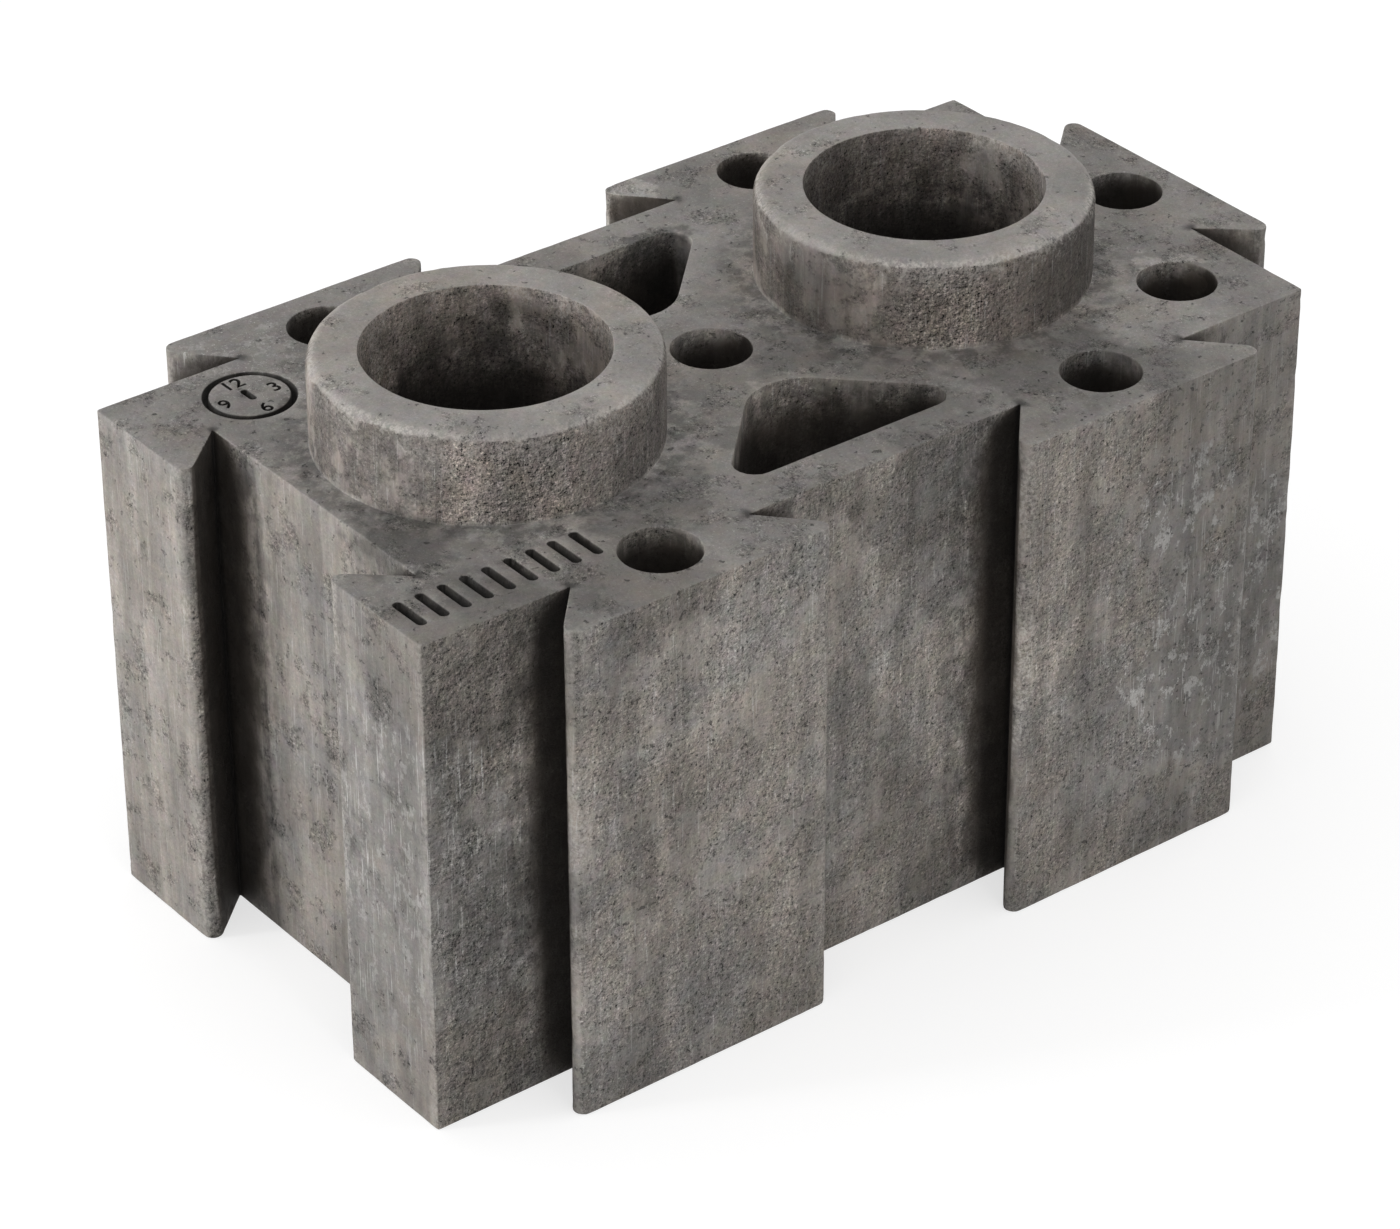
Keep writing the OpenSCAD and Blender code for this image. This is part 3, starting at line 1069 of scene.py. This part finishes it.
        # Painted shade in the pinholes
        pinholes = self.product(self.long_side, self.remap(self.noise(1.5, 27, 2, 0.5), 0.65, 0.68))
        return self.dim(colour, self.remap(pinholes, 0, 1, 1.0, 0.55))

    def rubbed(self, colour):
        """Pale rims on the bosses, and chalky rubbed edges."""
        rubbed = opaque(self.finish.rubbed)
        chalk = self.remap(self.noise(1.2, 13, 4, 0.75), 0.44, 0.6)
        rim = self.sum(self.noise(10, 22, 5, 0.65, (1, 1, 1.6)), self.remap(self.z, 162, 178, -0.3, 0.02))
        rim = self.product(self.remap(rim, 0.46, 0.56), chalk, self.product(self.boss_side, 0.6))
        colour = self.mix(rim, colour, rubbed)
        edges = self.product(chalk, self.remap(self.noise(30, 16, 2), 0.4, 0.6, 0.3, 0.9))
        return self.mix(self.math("MAXIMUM", self.product(self.worn, edges), 0.0), colour, rubbed)

    def grimy_and_painted_shade(self, colour):
        """Grime and painted shade where little light reaches, and painted shade in the inner corners."""
        clear = self.math("MAXIMUM", self.attribute("open"), self.product(self.worn, 0.75))
        blotches = self.remap(self.noise(7, 25, 6, 0.7, (1, 1, 1.5)), 0.42, 0.6, 0.62, 1.35)
        colour = self.mix(self.remap(clear, 0.85, 0.6), colour, self.dim(colour, blotches))
        # Brown dirt deeper in, which also stands as painted shade there
        colour = self.mix(self.remap(clear, 0.66, 0.4, 0.0, 0.8), colour, opaque(self.finish.grime_and_painted_shade))
        # Painted shade: darker where less of the sky is open
        colour = self.dim(colour, self.remap(clear, 0.34, 0.6, 0.38, 1.0))
        # Painted shade in the inner corners and the sunk marks
        return self.dim(colour, self.remap(self.worn, 0.0, -1.0, 1.0, 0.3))

    def bump(self):
        """Fine lumps, deepest on the sides of the bosses, and the pits."""
        gain = self.remap(self.boss_side, 0, 1, 1.0, 1.8)
        height = self.product(self.sum(self.noise(1.4, 10, 5, 0.8), -0.5), gain, self.lumpy)
        height = self.sum(height, self.product(self.pits, -0.4))
        return self.add("ShaderNodeBump", {"Height": height, "Distance": 1 * MM, "Strength": 1.0}).outputs[0]


def composite_material(finish):
    """The rough pressed composite."""
    s = CompositeShading(finish)
    colour = s.tinted()
    for step in (s.boss_toned, s.hued, s.streaked, s.bloomed, s.grained, s.rubbed, s.grimy_and_painted_shade):
        colour = step(colour)
    # The base colour carries the painted shade and light of the shade step
    return s.surface(s.add("ShaderNodeBsdfPrincipled", {
        "Base Color": s.dim(colour, s.shade()), "Roughness": s.remap(s.coarse, 0, 1, 0.68, 0.85),
        "Specular IOR Level": 0.3, "Normal": s.bump()}))


# --------------------------------------------------------------------- stage


# What the camera and the lamps look towards
MIDDLE = Vector((0, 5.4 * MM, 63.9 * MM))
LAMP_ELEVATION = math.radians(7)
LAMP_DISTANCE = 2.0


def white_to_camera(tree):
    """1 where a camera, glossy or transmission ray looks, and 0 for light that falls on things."""
    path = tree.nodes.new("ShaderNodeLightPath")
    total = path.outputs["Is Camera Ray"]
    for name in ("Is Glossy Ray", "Is Transmission Ray"):
        either = tree.nodes.new("ShaderNodeMath")
        either.operation = "MAXIMUM"
        tree.links.new(total, either.inputs[0])
        tree.links.new(path.outputs[name], either.inputs[1])
        total = either.outputs[0]
    return total


def direction(azimuth, elevation):
    """The way from the brick to a lamp or the camera, azimuth from -Y towards -X."""
    level = math.cos(elevation)
    return Vector((-math.sin(azimuth) * level, -math.cos(azimuth) * level, math.sin(elevation)))


def add_lamp(name, towards, azimuth, elevation, distance, size, power):
    """A square soft lamp."""
    data = bpy.data.lights.new(name, "AREA")
    data.shape = "SQUARE"
    data.size = size
    data.energy = power
    lamp = bpy.data.objects.new(name, data)
    back = direction(azimuth, elevation)
    lamp.location = towards + back * distance
    lamp.rotation_euler = back.to_track_quat("Z", "Y").to_euler()
    bpy.context.scene.collection.objects.link(lamp)


def add_camera(towards, azimuth, elevation, roll, distance, lens):
    data = bpy.data.cameras.new("camera")
    data.lens = lens
    data.sensor_width = 36.0
    data.clip_end = 50.0
    camera = bpy.data.objects.new("camera", data)
    back = direction(azimuth, elevation)
    camera.location = towards + back * distance
    turn = back.to_track_quat("Z", "Y") @ Quaternion((0, 0, 1), roll)
    camera.rotation_euler = turn.to_euler()
    bpy.context.scene.collection.objects.link(camera)
    bpy.context.scene.camera = camera


def floor_material(albedo, glow):
    """A pale floor that glows white to the camera but for the brick's shadow."""
    s = Shading("studio_floor")
    seen = white_to_camera(s.tree)
    diffuse = s.add("ShaderNodeBsdfDiffuse", {"Color": (albedo, albedo, albedo, 1)})
    shade = s.add("ShaderNodeBsdfDiffuse", {"Color": (0.4, 0.4, 0.4, 1)})
    light = s.add("ShaderNodeEmission", {"Color": (1, 1, 1, 1), "Strength": glow})
    seen_floor = s.add("ShaderNodeAddShader", {0: shade.outputs[0], 1: light.outputs[0]})
    either = s.add("ShaderNodeMixShader", {0: seen, 1: diffuse.outputs[0], 2: seen_floor.outputs[0]})
    return s.surface(either)


def add_floor(size, material):
    half = size / 2
    corners = [(-half, -half, 0), (half, -half, 0), (half, half, 0), (-half, half, 0)]
    mesh = bpy.data.meshes.new("studio_floor")
    mesh.from_pydata(corners, [], [(0, 1, 2, 3)])
    floor = add_piece("studio_floor", mesh, material)


def light_world(strength):
    """An even white light all round, and plain white behind the brick."""
    world = bpy.data.worlds.new("studio")
    bpy.context.scene.world = world
    world.use_nodes = True
    tree = world.node_tree
    sky = tree.nodes["Background"]
    white = tree.nodes.new("ShaderNodeBackground")
    white.inputs["Color"].default_value = (1, 1, 1, 1)
    white.inputs["Strength"].default_value = 1.0
    sky.inputs["Color"].default_value = (1, 1, 1, 1)
    sky.inputs["Strength"].default_value = strength
    either = tree.nodes.new("ShaderNodeMixShader")
    tree.links.new(white_to_camera(tree), either.inputs[0])
    tree.links.new(sky.outputs[0], either.inputs[1])
    tree.links.new(white.outputs[0], either.inputs[2])
    tree.links.new(either.outputs[0], tree.nodes["World Output"].inputs["Surface"])


# ----------------------------------------------------------------- operators


class BRICK_OT_make_brick(bpy.types.Operator):
    """Make the brick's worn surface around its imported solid"""

    bl_idname = "brick.make_brick"
    bl_label = "Make Brick"
    bl_options = {"REGISTER", "UNDO"}

    def execute(self, context):
        scene = context.scene
        skin = brick_skin(scene.brick_sizes, scene.brick_relief)
        mesh = mesh_from(skin, "brick_body")
        wear_in(mesh, skin, scene.brick_relief)
        keep(mesh, "open", openness(mesh))
        piece = add_piece("brick_body", mesh, composite_material(scene.brick_finish))
        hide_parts("brick")
        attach(piece, "root")
        return {"FINISHED"}


class BRICK_OT_build_studio(bpy.types.Operator):
    """Build the floor, the lamps and the camera"""

    bl_idname = "brick.build_studio"
    bl_label = "Build Studio"
    bl_options = {"REGISTER", "UNDO"}

    def execute(self, context):
        studio = context.scene.studio_settings
        context.scene.view_settings.view_transform = "Standard"
        add_camera(
            MIDDLE, azimuth=math.radians(37.80), elevation=math.radians(32.08), roll=math.radians(-0.175),
            distance=1.4993, lens=134.62)
        light_world(studio.sky)
        add_lamp(
            "key_lamp", MIDDLE, azimuth=math.radians(114), elevation=LAMP_ELEVATION, distance=LAMP_DISTANCE,
            size=0.3, power=studio.key_power)
        add_lamp(
            "fill_lamp", MIDDLE, azimuth=math.radians(10), elevation=LAMP_ELEVATION, distance=LAMP_DISTANCE,
            size=0.28, power=studio.fill_power)
        add_floor(studio.floor_size, floor_material(albedo=0.6, glow=0.66))
        return {"FINISHED"}


class BRICK_PT_panel(bpy.types.Panel):
    """Lists what makes the brick and its studio"""

    bl_label = "Interlocking Brick"
    bl_idname = "BRICK_PT_panel"
    bl_space_type = "VIEW_3D"
    bl_region_type = "UI"
    bl_category = "Brick"

    def draw(self, context):
        layout = self.layout
        scene = context.scene
        for settings in (scene.brick_sizes, scene.brick_relief, scene.brick_finish):
            box = layout.box()
            for name in settings.__annotations__:
                box.prop(settings, name)
        layout.operator(BRICK_OT_make_brick.bl_idname)
        box = layout.box()
        for name in scene.studio_settings.__annotations__:
            box.prop(scene.studio_settings, name)
        layout.operator(BRICK_OT_build_studio.bl_idname)


SETTINGS = {
    "brick_sizes": BrickSizes,
    "brick_relief": BrickRelief,
    "brick_finish": BrickFinish,
    "studio_settings": StudioSettings,
}
CLASSES = (*SETTINGS.values(), BRICK_OT_make_brick, BRICK_OT_build_studio, BRICK_PT_panel)


def register():
    for cls in CLASSES:
        bpy.utils.register_class(cls)
    for name, group in SETTINGS.items():
        setattr(bpy.types.Scene, name, bpy.props.PointerProperty(type=group))


def unregister():
    for name in SETTINGS:
        delattr(bpy.types.Scene, name)
    for cls in reversed(CLASSES):
        bpy.utils.unregister_class(cls)


def main():
    register()
    bpy.ops.brick.build_studio()
    bpy.ops.brick.make_brick()


if __name__ == "__main__":
    main()
